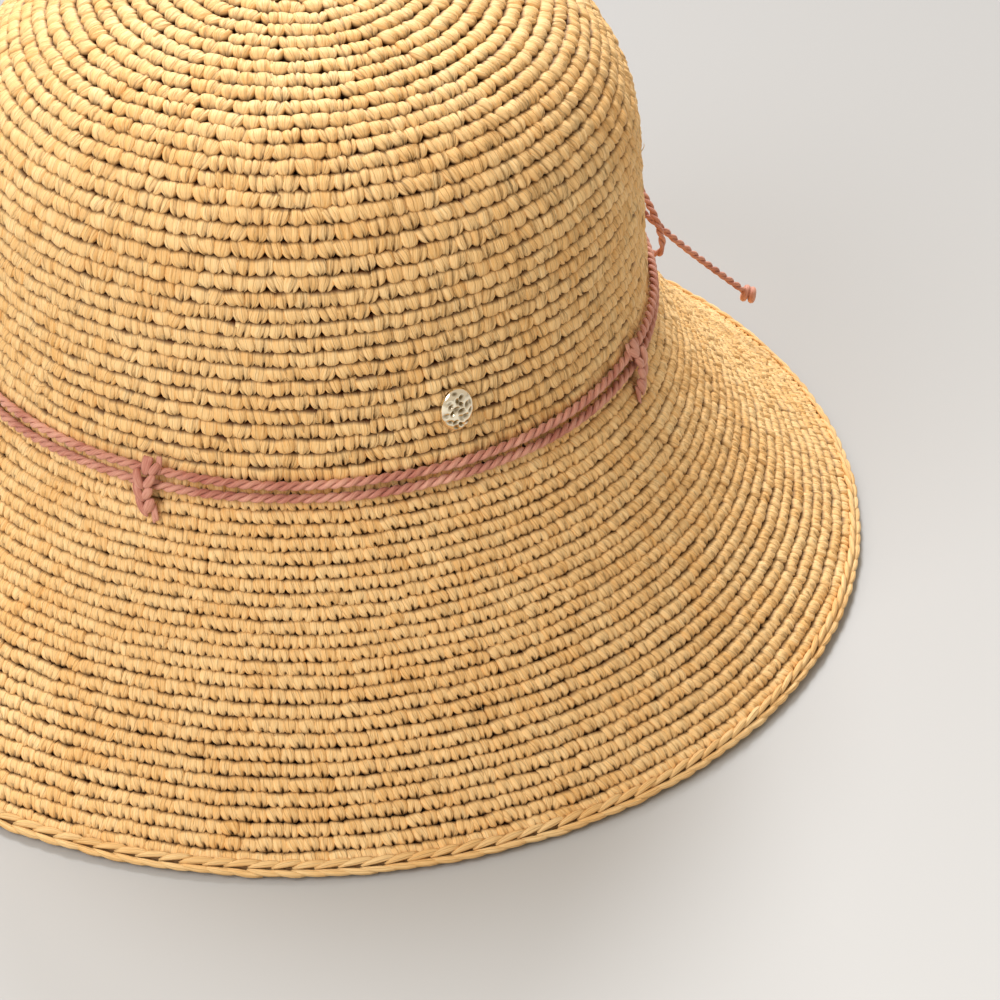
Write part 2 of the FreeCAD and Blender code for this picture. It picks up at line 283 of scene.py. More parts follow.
brim_rows = ((0.6, 0.72, -0.6, -1.0, 0.3), (0.45, 1.0, 0.55, -1.3, 0.7),
             (0.22, 1.13, 1.35, -1.5, 1.0), (-0.12, 1.13, 1.6, -1.5, 1.0),
             (-0.38, 0.93, 1.35, -1.4, 0.95), (-0.57, 0.6, 0.3, -1.0, 0.8))
brim_stitches = bpy.data.collections.new("brim_stitches")
for i, shape in enumerate((
        (1.1, 0.15, {}, 2.8), (1.08, 0.25, {2: 0.4}, 2.6), (1.1, 0.1, {6: 0.4}, 3.0),
        (1.08, 0.3, {5: 0.4}, 2.6), (1.12, 0.2, {2: 0.5, 6: 0.4}, 2.6), (1.1, 0.05, {3: 0.5}, 2.8),
        (1.12, 0.2, {6: 0.5}, 2.2), (1.08, 0.32, {5: 0.3}, 2.8))):
    brim_stitches.objects.link(stitch_form(f"brim_stitch_{i}", brim_rows, *shape))

# Natural raffia: split palm leaf, straw yellow and satin, with faint fibres along it. A stitch is a
# bundle of strips 1 to 2 mm wide. Painted shade: thin brown lines between the strips, and deep
# brown in its folds and where it is tucked under the round above.
raffia, straw, surface = new_material("natural_raffia", {
    "Roughness": 0.55, "Specular IOR Level": 0.2})
along_strand = add(straw, "ShaderNodeUVMap", uv_map="fibre").outputs[0]
strand = add(straw, "ShaderNodeAttribute", attribute_name="strand").outputs["Fac"]
shift = add(straw, "ShaderNodeCombineXYZ", {
    "X": add(straw, "ShaderNodeMath", {0: strand, 1: 61.0}, operation="MULTIPLY").outputs[0],
    "Y": add(straw, "ShaderNodeMath", {0: strand, 1: 37.0}, operation="MULTIPLY").outputs[0]})
own = add(straw, "ShaderNodeVectorMath", {0: along_strand, 1: shift.outputs[0]}).outputs[0]
# Fibres 0.15 mm apart, drawn about 0.4 mm apart so that they show.
fine = add(straw, "ShaderNodeMapping", {"Vector": own, "Scale": (2.6, 0.2, 1)}).outputs[0]
streak = add(straw, "ShaderNodeTexNoise",
             {"Vector": fine, "Scale": 1.0, "Detail": 2.0, "Roughness": 0.6}).outputs[0]
streak = add(straw, "ShaderNodeMapRange", {0: streak, 1: 0.36, 2: 0.64}).outputs[0]
bend = add(straw, "ShaderNodeTexNoise", {"Vector": own, "Scale": 0.5, "Detail": 1.0}).outputs[0]
across = add(straw, "ShaderNodeSeparateXYZ", {0: own}).outputs[0]
across = add(straw, "ShaderNodeMath", {0: bend, 1: 0.5, 2: across},
             operation="MULTIPLY_ADD").outputs[0]
strips = add(straw, "ShaderNodeTexVoronoi", {"W": across, "Scale": 0.62},
             voronoi_dimensions="1D", feature="DISTANCE_TO_EDGE").outputs["Distance"]
strips = add(straw, "ShaderNodeMapRange", {0: strips, 1: 0.0, 2: 0.09}).outputs[0]
tone = add(straw, "ShaderNodeAttribute", attribute_name="tone").outputs["Fac"]
crest = add(straw, "ShaderNodeAttribute", attribute_name="crest").outputs["Fac"]
mixed = add(straw, "ShaderNodeMix", {"Factor": 0.36, 2: tone, 3: streak}).outputs[0]
leaf = add(straw, "ShaderNodeValToRGB", {0: mixed}, ((0.1, "#E3AB60"), (0.9, "#FDDCA2")))
# Painted shade: where the painted light is low, and at the strips' edges, the leaf colour turns to
# deep brown #4A2409.
painted_light_mix = add(straw, "ShaderNodeMapRange", {0: crest, 1: 0.15, 2: 0.8}).outputs[0]
line = add(straw, "ShaderNodeMath", {0: strips, 1: 0.4, 2: 0.6},
           operation="MULTIPLY_ADD").outputs[0]
painted_light_mix = add(straw, "ShaderNodeMath", {0: painted_light_mix, 1: line}, operation="MULTIPLY").outputs[0]
whole = add(straw, "ShaderNodeMix", {"Factor": painted_light_mix, 6: colour("#4A2409"), 7: leaf.outputs[0]},
            data_type="RGBA").outputs[2]
straw.links.new(whole, surface.inputs["Base Color"])
relief = add(straw, "ShaderNodeMath", {0: strips, 1: 0.6, 2: streak},
             operation="MULTIPLY_ADD").outputs[0]
bump = add(straw, "ShaderNodeBump", {"Height": relief, "Strength": 0.6, "Distance": 0.0002})
straw.links.new(bump.outputs[0], surface.inputs["Normal"])

# The tree that works one stitch after another along every round.
rounds = bpy.data.node_groups.new("crochet_rounds", "GeometryNodeTree")
rounds.interface.new_socket("Rounds", in_out="INPUT", socket_type="NodeSocketGeometry")
for name, kind in (("Stitch width", "NodeSocketFloat"), ("Round pitch", "NodeSocketFloat"),
                   ("Wander", "NodeSocketFloat"), ("Sway", "NodeSocketFloat"),
                   ("Seed", "NodeSocketInt"), ("Forms", "NodeSocketCollection"),
                   ("Finish", "NodeSocketMaterial")):
    rounds.interface.new_socket(name, in_out="INPUT", socket_type=kind)
rounds.interface.new_socket("Crochet", in_out="OUTPUT", socket_type="NodeSocketGeometry")
given = add(rounds, "NodeGroupInput").outputs
seed = given["Seed"]
curve = add(rounds, "GeometryNodeMeshToCurve", {"Mesh": given["Rounds"]}).outputs[0]
evenly = add(rounds, "GeometryNodeResampleCurve", {"Curve": curve, "Length": given["Stitch width"]},
             mode="LENGTH").outputs[0]
out, up = (add(rounds, "GeometryNodeInputNamedAttribute", {"Name": name},
               data_type="FLOAT_VECTOR").outputs[0] for name in ("out", "up"))
tangent = add(rounds, "GeometryNodeInputTangent").outputs[0]
# Rounds wander a little up and down over a few centimetres, and each stitch a little on its own.
wave = add(rounds, "ShaderNodeTexNoise", {"Scale": 26.0, "Detail": 1.0}).outputs[0]
drift = add(rounds, "ShaderNodeMath", {0: wave, 1: 0.5}, operation="SUBTRACT").outputs[0]
drift = add(rounds, "ShaderNodeMath", {0: drift, 1: given["Wander"]},
            operation="MULTIPLY").outputs[0]
drift = add(rounds, "ShaderNodeVectorMath", {0: up, "Scale": drift}, operation="SCALE").outputs[0]
knock = add(rounds, "FunctionNodeRandomValue", {0: (-0.0013,) * 3, 1: (0.0013,) * 3,
            "Seed": seed}, data_type="FLOAT_VECTOR").outputs[0]
knock = add(rounds, "ShaderNodeVectorMath", {0: knock, "Scale": given["Sway"]},
            operation="SCALE").outputs[0]
offset = add(rounds, "ShaderNodeVectorMath", {0: drift, 1: knock}).outputs[0]
places = add(rounds, "GeometryNodeSetPosition", {"Geometry": evenly, "Offset": offset}).outputs[0]
stand = add(rounds, "FunctionNodeAxesToRotation", {0: out, 1: tangent},
            primary_axis="Z", secondary_axis="X").outputs[0]
sway = add(rounds, "FunctionNodeRandomValue", {0: (-0.9, -0.8, -1.2), 1: (0.9, 0.8, 1.2),
           "Seed": seed}, data_type="FLOAT_VECTOR").outputs[0]
sway = add(rounds, "ShaderNodeVectorMath", {0: sway, "Scale": given["Sway"]},
           operation="SCALE").outputs[0]
sway = add(rounds, "FunctionNodeEulerToRotation", {0: sway}).outputs[0]
turned = add(rounds, "FunctionNodeRotateRotation", {0: stand, 1: sway},
             rotation_space="LOCAL").outputs[0]
swell = add(rounds, "FunctionNodeRandomValue", {0: (0.95, 0.95, 0.88), 1: (1.14, 1.07, 1.1),
            "Seed": seed}, data_type="FLOAT_VECTOR").outputs[0]
wider, taller = (add(rounds, "ShaderNodeMath", {0: given[name], 1: form_size / 1000},
                     operation="DIVIDE").outputs[0] for name in ("Stitch width", "Round pitch"))
stretch = add(rounds, "ShaderNodeCombineXYZ", {"X": wider, "Y": taller, "Z": 1.0}).outputs[0]
size = add(rounds, "ShaderNodeVectorMath", {0: swell, 1: stretch}, operation="MULTIPLY").outputs[0]
forms = add(rounds, "GeometryNodeCollectionInfo", {0: given["Forms"], 1: True, 2: True}).outputs[0]
which = add(rounds, "FunctionNodeRandomValue", {4: 0, 5: 7, "Seed": seed},
            data_type="INT").outputs[2]
worked = add(rounds, "GeometryNodeInstanceOnPoints", {
    "Points": places, "Instance": forms, "Pick Instance": True, "Instance Index": which,
    "Rotation": turned, "Scale": size}).outputs[0]
own = add(rounds, "FunctionNodeRandomValue", {2: 0.0, 3: 1.0, "Seed": seed}).outputs[1]
worked = add(rounds, "GeometryNodeStoreNamedAttribute", {"Geometry": worked, "Name": "strand",
             "Value": own}, data_type="FLOAT", domain="INSTANCE").outputs[0]
# Runs of several stitches come from one strand, and share its tone.
run = add(rounds, "ShaderNodeTexNoise", {"Scale": 62.0, "Detail": 1.0}).outputs[0]
tone = add(rounds, "ShaderNodeMix", {"Factor": 0.35, 2: run, 3: own}).outputs[0]
worked = add(rounds, "GeometryNodeStoreNamedAttribute", {"Geometry": worked, "Name": "tone",
             "Value": tone}, data_type="FLOAT", domain="INSTANCE").outputs[0]
solid = add(rounds, "GeometryNodeRealizeInstances", {"Geometry": worked}).outputs[0]
solid = add(rounds, "GeometryNodeSetMaterial", {"Geometry": solid,
            "Material": given["Finish"]}).outputs[0]
add(rounds, "NodeGroupOutput", {0: solid})


def settle(holder, tree, inputs, name):
    """Gives a holder its tree and inputs, and turns the result into a plain mesh piece."""
    modifier = holder.modifiers.new("tree", "NODES")
    modifier.node_group = tree
    for item in tree.interface.items_tree:
        if item.item_type == "SOCKET" and item.name in inputs:
            modifier[item.identifier] = inputs[item.name]
    bpy.context.scene.collection.objects.link(holder)
    graph = bpy.context.evaluated_depsgraph_get()
    mesh = bpy.data.meshes.new_from_object(holder.evaluated_get(graph), depsgraph=graph,
                                           preserve_all_data_layers=True)
    mesh.name = name
    bpy.data.objects.remove(holder)
    made = bpy.data.objects.new(name, mesh)
    bpy.context.scene.collection.objects.link(made)
    return made


def round_lines(name, places):
    """Closed lines around the hat's axis, each with its radius, height and the turn of its face."""
    points, edges, outs, ups = [], [], [], []
    shift = np.random.default_rng(len(places)).uniform(0, math.tau, len(places))
    for i, (r, z, turn) in enumerate(places):
        n_r, n_z = math.cos(turn), math.sin(turn)
        base, loops = len(points), max(24, int(r * 1200))
        for k in range(loops):
            a = shift[i] + math.tau * k / loops
            c, s = math.cos(a), math.sin(a)
            points.append((r * c, r * s, z))
            outs.append((n_r * c, n_r * s, n_z))
            ups.append((-n_z * c, -n_z * s, n_r))
            edges.append((base + k, base + (k + 1) % loops))
    mesh = bpy.data.meshes.new(name)
    mesh.from_pydata(points, edges, [])
    mesh.attributes.new("out", "FLOAT_VECTOR", "POINT").data.foreach_set("vector", np.ravel(outs))
    mesh.attributes.new("up", "FLOAT_VECTOR", "POINT").data.foreach_set("vector", np.ravel(ups))
    return bpy.data.objects.new(name, mesh)


for number, (name, node, face, first, last, count, width, pitch, forms) in enumerate((
        ("crochet_tip", "crown_tip", on_tip, 0.0, 1.0, 14, 0.0044, 0.00455, crown_stitches),
        ("crochet_shoulder_top", "crown_shoulder", on_shoulder, 0.0, 0.46, 6, 0.0044, 0.0045,
         crown_stitches),
        ("crochet_shoulder_side", "crown_shoulder", on_shoulder, 0.46, 1.0, 7, 0.0044, 0.0045,
         crown_stitches),
        ("crochet_wall_high", "crown_wall", on_wall, 0.0, 0.5, 6, 0.0044, 0.00445, crown_stitches),
        ("crochet_wall_low", "crown_wall", on_wall, 0.5, 1.0, 6, 0.0044, 0.00445, crown_stitches),
        ("crochet_brim_1", "brim_inner", on_brim, 0.0, 0.26, 7, 0.0041, 0.0037, brim_stitches),
        ("crochet_brim_2", "brim_inner", on_brim, 0.26, 0.52, 7, 0.0041, 0.0037, brim_stitches),
        ("crochet_brim_3", "brim_outer", on_brim, 0.52, 0.76, 6, 0.0041, 0.0038, brim_stitches),
        ("crochet_brim_4", "brim_outer", on_brim, 0.76, 1.0, 6, 0.0041, 0.0038, brim_stitches))):
    places = []
    for i in range(count):
        r, z, turn = face(first + (last - first) * (i + 0.5) / count)
        places.append((r - math.cos(turn) * half_thickness,
                       z - math.sin(turn) * half_thickness, turn))
    made = settle(round_lines(name, places), rounds, {
        "Stitch width": width, "Round pitch": pitch, "Wander": 0.0016, "Sway": 0.17,
        "Seed": number + 3, "Forms": forms, "Finish": raffia}, name)
    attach(made, "root")
    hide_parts(node)

# ==== Edging ====================================================================================
# One round of chain in a slightly thinner strand of the same raffia, worked around the brim's
# edge: links of two leaves that part and meet over a core, and under them a strand that the hat
# stands on.


def tube(line, radius, sides=8, flat=1.0, across=None, closed=False, start=0.0):
    """Points, faces and fibre map of a round or flattened strand, whose radius may vary."""
    line = np.asarray(line, float)
    count = len(line)
    radius = np.broadcast_to(np.asarray(radius, float), (count,))
    step = np.roll(line, -1, 0) - np.roll(line, 1, 0)
    if not closed:
        step[0], step[-1] = line[1] - line[0], line[-1] - line[-2]
    tangent = step / np.linalg.norm(step, axis=1)[:, None]
    if across is None:
        side = np.zeros((count, 3))
        side[0] = np.cross(tangent[0], (0.3, 0.2, 0.93))
        for i in range(1, count):
            side[i] = side[i - 1] / np.linalg.norm(side[i - 1])
            side[i] -= tangent[i] * side[i].dot(tangent[i])
    else:
        side = np.asarray(across, float) - tangent * (np.asarray(across) * tangent).sum(1)[:, None]
    side /= np.linalg.norm(side, axis=1)[:, None]
    normal = np.cross(tangent, side)
    turn = np.linspace(0, 2 * math.pi, sides, endpoint=False)
    ring = (side[:, None] * np.cos(turn)[None, :, None] * radius[:, None, None]
            + normal[:, None] * np.sin(turn)[None, :, None] * (radius * flat)[:, None, None])
    points = (line[:, None] + ring).reshape(-1, 3)
    along = start + np.concatenate([[0], np.cumsum(np.linalg.norm(np.diff(line, axis=0), axis=1))])
    uv = np.stack([np.broadcast_to(np.abs(turn - math.pi) * 1.3, (count, sides)),
                   np.broadcast_to(along[:, None] * 1000, (count, sides))], 2).reshape(-1, 2)
    faces = []
    for i in range(count if closed else count - 1):
        j = (i + 1) % count
        for k in range(sides):
            m = (k + 1) % sides
            faces.append((i * sides + k, i * sides + m, j * sides + m, j * sides + k))
    if not closed:
        faces.append(tuple(range(sides))[::-1])
        faces.append(tuple(range((count - 1) * sides, count * sides)))
    return points, faces, uv


def join(parts):
    """Several tubes as one list of points, faces and fibre map."""
    points, faces, maps, shift = [], [], [], 0
    for p, f, u in parts:
        points.append(p)
        maps.append(u)
        faces += [tuple(i + shift for i in face) for face in f]
        shift += len(p)
    return np.concatenate(points), faces, np.concatenate(maps)


def leaf_line(a, b, bow, steps=6):
    """Points from a to b that bow sideways or outwards in the middle."""
    a, b, bow = np.array(a, float), np.array(b, float), np.array(bow, float)
    t = np.linspace(0, 1, steps)[:, None]
    return a + (b - a) * t + bow * 4 * t * (1 - t)


half_link = 0.0036
# Painted light of the core under the leaves: low, for painted shade.
core_painted_light = 0.3
chain_links = bpy.data.collections.new("chain_links")
for i, (gape, fat) in enumerate(((1.0, 1.0), (1.15, 0.94), (0.85, 1.05), (1.05, 1.0))):
    width = np.array([0.3, 0.75, 1.0, 1.04, 0.85, 0.45]) / 1000 * fat
    core = tube(leaf_line((-half_link, 0.0001, -0.0009), (half_link, 0.0001, -0.0009), (0, 0, 0)),
                np.full(6, 0.0008), 6)
    link = join((
        tube(leaf_line((-0.0033, -0.0002, 0.0005), (0.0034, 0.0013 * gape, 0.0001),
                       (0, 0.0004, 0.0006)), width, 6, 0.75, [(0.1, 1, 0.3)] * 6),
        tube(leaf_line((-0.0035, -0.0007, 0.0003), (0.0036, -0.0015 * gape, -0.0001),
                       (0, -0.0003, 0.0005)), width, 6, 0.85, [(0.1, 1, -0.3)] * 6),
        tube(leaf_line((-half_link, -0.0012, -0.0014), (half_link, -0.0012, -0.0014), (0, 0, 0)),
             np.array([0.7, 0.9, 1.0, 1.0, 0.9, 0.7]) / 1000, 6), core))
    # Painted shade: darker the lower a point of the link lies, and darker still on the core under
    # the leaves.
    painted_light_values = np.clip(0.9 + link[0][:, 2] * 250, 0, 1)
    painted_light_values[-len(core[0]):] = core_painted_light
    mesh = smooth_mesh(f"chain_link_{i}", *link)
    mark(mesh, "crest", painted_light_values)
    chain_links.objects.link(bpy.data.objects.new(mesh.name, mesh))
chain_place = (0.1588, 0.00305, math.radians(45))
edging = settle(round_lines("edging_chain", [chain_place]), rounds, {
    "Stitch width": 0.006, "Round pitch": 0.0044, "Wander": 0.0, "Sway": 0.03, "Seed": 31,
    "Forms": chain_links, "Finish": raffia}, "edging_chain")
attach(edging, "root")
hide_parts("brim_edging")

# ==== Stray fibres ==============================================================================
# Thin split ends of raffia that stand out of the stitches here and there.


def piece(name, points, faces, material, uv=None):
    """A mesh piece of the hat, smooth, with its place in its mesh."""
    mesh = smooth_mesh(name, points, faces, uv)
    mesh.validate()
    mesh.materials.append(material)
    made = bpy.data.objects.new(name, mesh)
    bpy.context.scene.collection.objects.link(made)
    return made


chance = np.random.default_rng(8)
strays = []
fibre_count = 90
for i in range(fibre_count):
    spots = ((on_brim, chance.uniform(0.03, 0.97)), (on_wall, chance.uniform(0.1, 0.95)),
             (on_shoulder, chance.uniform(0.1, 1)))
    face, share = spots[int(chance.choice(3, p=(0.62, 0.2, 0.18)))]
    r, z, turn = face(share)
    a = chance.uniform(0, math.tau)
    out = np.array((math.cos(turn) * math.cos(a), math.cos(turn) * math.sin(a), math.sin(turn)))
    level = np.array((-math.sin(a), math.cos(a), 0))
    start = np.array((r * math.cos(a), r * math.sin(a), z)) - out * 0.0006
    lie = chance.uniform(0, math.tau)
    run = level * math.cos(lie) + np.cross(out, level) * math.sin(lie)
    far = chance.uniform(0.0025, 0.006)
    end = start + run * far + out * chance.uniform(0.0004, 0.0016)
    strays.append(tube(leaf_line(start, end, out * chance.uniform(0.0003, 0.0009), 7),
                       np.linspace(0.00016, 0.00006, 7), 4, 0.5, None, False, i * 0.02))
fibres = piece("stray_fibres", *join(strays)[:2], raffia, join(strays)[2])
# Stray fibres take full painted light, with no painted shade.
for name, value in (("crest", 1.0), ("tone", 0.7), ("strand", 0.3)):
    mark(fibres.data, name, [value] * len(fibres.data.vertices))
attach(fibres, "root")

# ==== Sweatband =================================================================================
# Cotton grosgrain ribbon, 30 mm wide, sewn along its bottom edge to the inside of the crown with
# small running stitches. A short piece of thinner ribbon covers its ends at the back.

# Grosgrain: fine ribs across the ribbon, matt, in undyed cotton. Ribs 0.6 mm apart, drawn 0.9 mm
# apart so that they show.
grosgrain, weave, surface = new_material("undyed_cotton_grosgrain", {
    "Roughness": 0.85, "Sheen Weight": 0.2})
on_ribbon = add(weave, "ShaderNodeUVMap", uv_map="fibre").outputs[0]
ribs = add(weave, "ShaderNodeTexWave", {"Vector": on_ribbon, "Scale": 0.35, "Distortion": 0.6,
           "Detail": 1.0}, bands_direction="X").outputs["Fac"]
slub = add(weave, "ShaderNodeTexNoise", {"Vector": on_ribbon, "Scale": 1.4,
           "Detail": 3.0}).outputs[0]
thread = add(weave, "ShaderNodeMix", {"Factor": 0.4, 2: ribs, 3: slub}).outputs[0]
yarn = add(weave, "ShaderNodeValToRGB", {0: thread}, ((0.2, "#B9A785"), (0.8, "#D9CBAE")))
weave.links.new(yarn.outputs[0], surface.inputs["Base Color"])
bump = add(weave, "ShaderNodeBump", {"Height": thread, "Strength": 0.6, "Distance": 0.0002})
weave.links.new(bump.outputs[0], surface.inputs["Normal"])

ribbon_lift, ribbon_tall, ribbon_lean = 0.003, 0.030, 0.0027
ribbon_inset, ribbon_thickness = 0.0035, 0.0008


def ribbon_strip(name, start, turn, inside, thick, ripple):
    """Ribbon inside the crown side, from one angle round to another, its top edge leaning in."""
    around, tall = max(8, int(turn / 0.03)), 8
    points, uv = [], []
    for k in range(around + 1):
        a = start + turn * k / around
        for j in range(2 * tall + 2):
            up_share = j / tall if j <= tall else (2 * tall + 1 - j) / tall
            outer = j <= tall
            off = inside + ribbon_lean * up_share + ripple * up_share ** 2 * (
                math.sin(5 * a + 0.6) + 0.5 * math.sin(11 * a))
            off += 0 if outer else thick
            rise = ribbon_lift + ribbon_tall * up_share
            r = crease_radius - wall_taper * rise / wall_height - off * math.cos(lean)
            z = crease_height + rise - off * math.sin(lean)
            points.append((r * math.sin(a), -r * math.cos(a), z))
            uv.append((a * 92, up_share * 30))
    return piece(name, points, sleeve(around + 1, 2 * tall + 2), grosgrain, uv)


slit = 0.0015 / crease_radius
band = ribbon_strip("sweatband_ribbon", math.pi + slit / 2, math.tau - slit, ribbon_inset,
                    ribbon_thickness, 0.0003)
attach(band, "root")
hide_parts("sweatband")
cover = 0.014 / crease_radius
tab = ribbon_strip("sweatband_cover", math.pi - cover / 2, cover, 0.00475, 0.0005, 0.0)
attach(tab, "root")
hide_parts("sweatband_tab")

# Sewing cotton: two plies, matt, the colour of the raffia.
cotton, sewn, surface = new_material("sewing_cotton", {"Roughness": 0.8})
along_thread = add(sewn, "ShaderNodeUVMap", uv_map="fibre").outputs[0]
ply = add(sewn, "ShaderNodeTexWave", {"Vector": along_thread, "Scale": 0.6},
          bands_direction="DIAGONAL").outputs["Fac"]
spun = add(sewn, "ShaderNodeValToRGB", {0: ply}, ((0.2, "#B08A57"), (0.9, "#D8B783")))
sewn.links.new(spun.outputs[0], surface.inputs["Base Color"])
running_stitch = bpy.data.collections.new("running_stitch")
line = tube(leaf_line((-0.0015, 0, -0.0004), (0.0015, 0, -0.0004), (0, 0.0001, 0.0006)),
            np.array([0.12, 0.25, 0.25, 0.25, 0.25, 0.12]) / 1000, 6)
mesh = smooth_mesh("running_stitch", *line)
running_stitch.objects.link(bpy.data.objects.new("running_stitch", mesh))
seam_rise = ribbon_lift + 0.0025
seam_share = 0.083          # of the ribbon's width, from its bottom edge
seam_radius = (crease_radius - wall_taper * seam_rise / wall_height - ribbon_inset
               - ribbon_thickness - ribbon_lean * seam_share)
seam = settle(round_lines("sweatband_seam", [(seam_radius, crease_height + seam_rise,
                                              math.pi + lean)]), rounds, {
    "Stitch width": 0.0044, "Round pitch": 0.0044, "Wander": 0.0, "Sway": 0.04, "Seed": 5,
    "Forms": running_stitch, "Finish": cotton}, "sweatband_seam")
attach(seam, "root")

# ==== Cord around the crown =====================================================================
# A cord of two plies of raffia, dyed dusty rose, 2.7 mm thick. It goes twice around the crown in
# the fold above the brim, and wanders a little up and down, as a hand laid it.


def twisted(line, diameter, pitch=0.0068, closed=False):
    """Two plies laid evenly around each other along a line, in whole twists if it is closed."""
    line = np.asarray(line, float)
    if closed:
        line = np.concatenate([line, line[:1]])
    along = np.concatenate([[0], np.cumsum(np.linalg.norm(np.diff(line, axis=0), axis=1))])
    if closed:
        pitch = along[-1] / round(along[-1] / pitch)
    count = int(along[-1] / pitch * 14) + 2
    at = np.linspace(0, along[-1], count)
    middle = np.stack([np.interp(at, along, line[:, k]) for k in range(3)], 1)
    if closed:
        middle, at = middle[:-1], at[:-1]
    step = np.roll(middle, -1, 0) - np.roll(middle, 1, 0)
    if not closed:
        step[0], step[-1] = middle[1] - middle[0], middle[-1] - middle[-2]
    tangent = step / np.linalg.norm(step, axis=1)[:, None]
    level = np.cross(tangent, (0, 0, 1.0))
    level /= np.linalg.norm(level, axis=1)[:, None]
    upright = np.cross(level, tangent)
    parts = []
    for half in (0, math.pi):
        turn = 2 * math.pi * at / pitch + half
        out = level * np.cos(turn)[:, None] + upright * np.sin(turn)[:, None]
        parts.append(tube(middle + out * diameter * 0.245, diameter * 0.28, 8, 0.88,
                          np.cross(tangent, out), closed, half * 3))
    return join(parts)


# Dyed raffia: soft, dull fibres that lie along each ply, a little paler where they are rubbed.
rose_raffia, dye, surface = new_material("dyed_raffia_dusty_rose", {
    "Roughness": 0.62, "Specular IOR Level": 0.35, "Sheen Weight": 0.15})
along_ply = add(dye, "ShaderNodeUVMap", uv_map="fibre").outputs[0]
# Fibres 0.2 mm apart, drawn 0.45 mm apart so that they show.
fine = add(dye, "ShaderNodeMapping", {"Vector": along_ply, "Scale": (2.2, 0.22, 1)}).outputs[0]
streak = add(dye, "ShaderNodeTexNoise", {"Vector": fine, "Scale": 1.0, "Detail": 3.0}).outputs[0]
place = add(dye, "ShaderNodeTexCoord").outputs["Object"]
patch = add(dye, "ShaderNodeTexNoise", {"Vector": place, "Scale": 90.0, "Detail": 1.0}).outputs[0]
both = add(dye, "ShaderNodeMath", {0: streak, 1: patch}, operation="ADD").outputs[0]
both = add(dye, "ShaderNodeMath", {0: both, 1: 0.5}, operation="MULTIPLY").outputs[0]
tint = add(dye, "ShaderNodeValToRGB", {0: both}, ((0.36, "#A8604E"), (0.64, "#E0A88F")))
dye.links.new(tint.outputs[0], surface.inputs["Base Color"])
bump = add(dye, "ShaderNodeBump", {"Height": streak, "Strength": 0.55, "Distance": 0.0002})
dye.links.new(bump.outputs[0], surface.inputs["Normal"])

cord_thickness = 0.0027
turn_angles = np.linspace(0, math.tau, 720, endpoint=False)
for name, rise, out, waves in (
        ("lower", 0.0010, 0.00165, ((3, 0.00022, 0.6), (7, 0.00016, 2.0), (11, 0.0001, 4.0))),
        ("upper", 0.0051, 0.00145, ((4, 0.0003, 1.1), (6, 0.00018, 3.3), (13, 0.0001, 0.4)))):
    high = rise + sum(size * np.sin(n * turn_angles + at) for n, size, at in waves)
    far = crease_radius - wall_taper * high / wall_height + out
    far = far + 0.00012 * np.sin(9 * turn_angles + rise * 900)
    line = np.stack([far * np.sin(turn_angles), -far * np.cos(turn_angles),
                     crease_height + high], 1)
    plies = twisted(line, cord_thickness, closed=True)
    wound = piece(f"cord_turn_{name}_plies", *plies[:2], rose_raffia, plies[2])
    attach(wound, "root")
    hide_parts(f"cord_turn_{name}")

# ==== Keepers ===================================================================================
# At the front and at each side, a short strand of the same raffia is worked as a few chain links
# over both turns and through the crochet, to hold them. Its frayed ends stand out.

# Millimetres along the turns, above the crease and out from it: the start, middle and stop of each
# link or end; then its half width, and how flat an end is.
at_keeper = {
    "links": (((3.4, 8.2, 1.4), (2.5, 6.9, 3.0), (1.5, 5.5, 3.5), 1.1),
              ((2.6, 5.6, 3.4), (1.4, 3.4, 4.4), (-0.1, 1.5, 3.9), 1.2),
              ((1.8, 1.8, 4.1), (0.9, -0.2, 4.7), (-0.3, -2.2, 4.3), 1.25),
              ((2.0, -1.8, 4.0), (1.3, -4.0, 4.9), (0.1, -6.4, 4.9), 1.35),
              ((-2.4, 6.2, 3.0), (-1.7, 3.4, 4.3), (-0.2, 0.9, 4.1), 1.35),
              ((-2.7, 2.4, 3.4), (-1.7, -0.6, 4.5), (0.0, -3.0, 4.3), 1.3),
              ((-2.4, -1.6, 3.4), (-1.2, -4.6, 4.5), (0.9, -7.4, 5.0), 1.1)),
    "ends": (((0.2, 9.3, 0.9), (0.0, 7.0, 2.4), (-0.3, 4.6, 3.1), 1.5, 0.35),
             ((3.2, 10.0, 0.8), (3.4, 7.6, 1.6), (3.3, 5.2, 2.4), 0.85, 0.5),
             ((1.9, -4.0, 3.5), (2.9, -6.0, 4.6), (3.8, -7.8, 5.2), 1.0, 0.6),
             ((1.6, -4.4, 3.2), (2.3, -6.6, 4.3), (2.9, -8.8, 5.3), 0.7, 0.5))}
